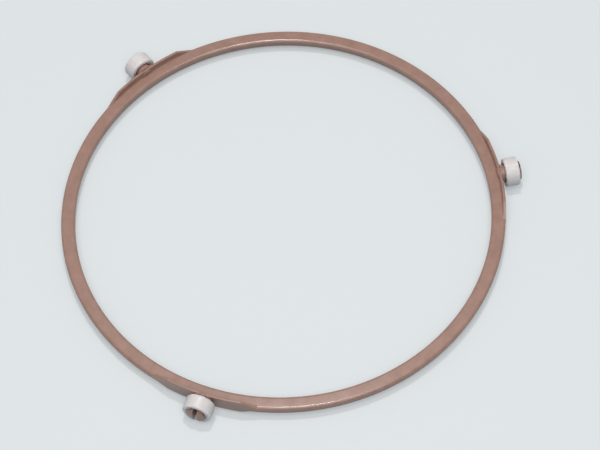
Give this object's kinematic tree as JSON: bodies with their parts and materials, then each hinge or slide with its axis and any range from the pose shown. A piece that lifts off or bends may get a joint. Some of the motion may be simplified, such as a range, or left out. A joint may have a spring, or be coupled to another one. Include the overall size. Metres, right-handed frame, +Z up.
{
  "type": "microwave roller ring",
  "caption": "Flat moulded ring with free-turning rollers snapped over stub axles on its rim; carries and centres the turning tray of a microwave oven.",
  "frame": {"origin": "centre of the ring, on the floor that the rollers stand on", "axes": "+Z up along the ring's own axis, +X along the axis of the first roller"},
  "size_m": [0.2255, 0.215, 0.014],
  "materials": {
    "ring_plastic": "satin moulded, brown",
    "roller_plastic": "smooth moulded, off-white"
  },
  "bodies": {
    "ring": {"ring": "ring_plastic"},
    "roller_right": {"roller_right": "roller_plastic"},
    "roller_far": {"roller_far": "roller_plastic"},
    "roller_near": {"roller_near": "roller_plastic"}
  },
  "joints": [
    {"name": "roller_right_spin", "type": "hinge", "parent": "ring", "child": "roller_right", "pos_m": [0.1128, 0, 0.007], "axis": [1, 0, 0], "continuous": true},
    {"name": "roller_far_spin", "type": "hinge", "parent": "ring", "child": "roller_far", "pos_m": [-0.0564, 0.09769, 0.007], "axis": [-0.5, 0.866, 0], "continuous": true},
    {"name": "roller_near_spin", "type": "hinge", "parent": "ring", "child": "roller_near", "pos_m": [-0.0564, -0.09769, 0.007], "axis": [-0.5, -0.866, 0], "continuous": true}
  ]
}
